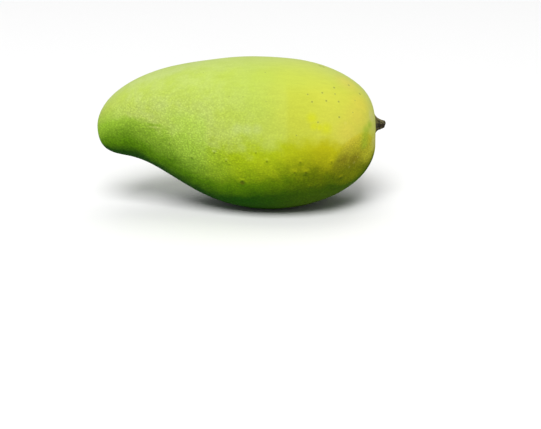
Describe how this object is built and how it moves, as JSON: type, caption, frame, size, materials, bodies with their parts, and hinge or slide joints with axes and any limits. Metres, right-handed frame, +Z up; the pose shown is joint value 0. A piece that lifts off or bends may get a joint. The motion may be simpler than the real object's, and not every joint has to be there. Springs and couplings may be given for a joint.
{
  "type": "mango",
  "caption": "Whole green mango with a curved beak and a short woody stem stub, lying on its belly.",
  "frame": {"origin": "on the surface the fruit rests on, below the centre of its bounding box", "axes": "+X from the beak towards the stem, +Z up through the back of the fruit, +Y from the pictured cheek to the far one"},
  "size_m": [0.1556, 0.0704, 0.0812],
  "materials": {
    "skin": null,
    "stem": "rough dark brown, dry"
  },
  "bodies": {
    "root": {"fruit": "skin", "stem": "stem"}
  },
  "joints": []
}
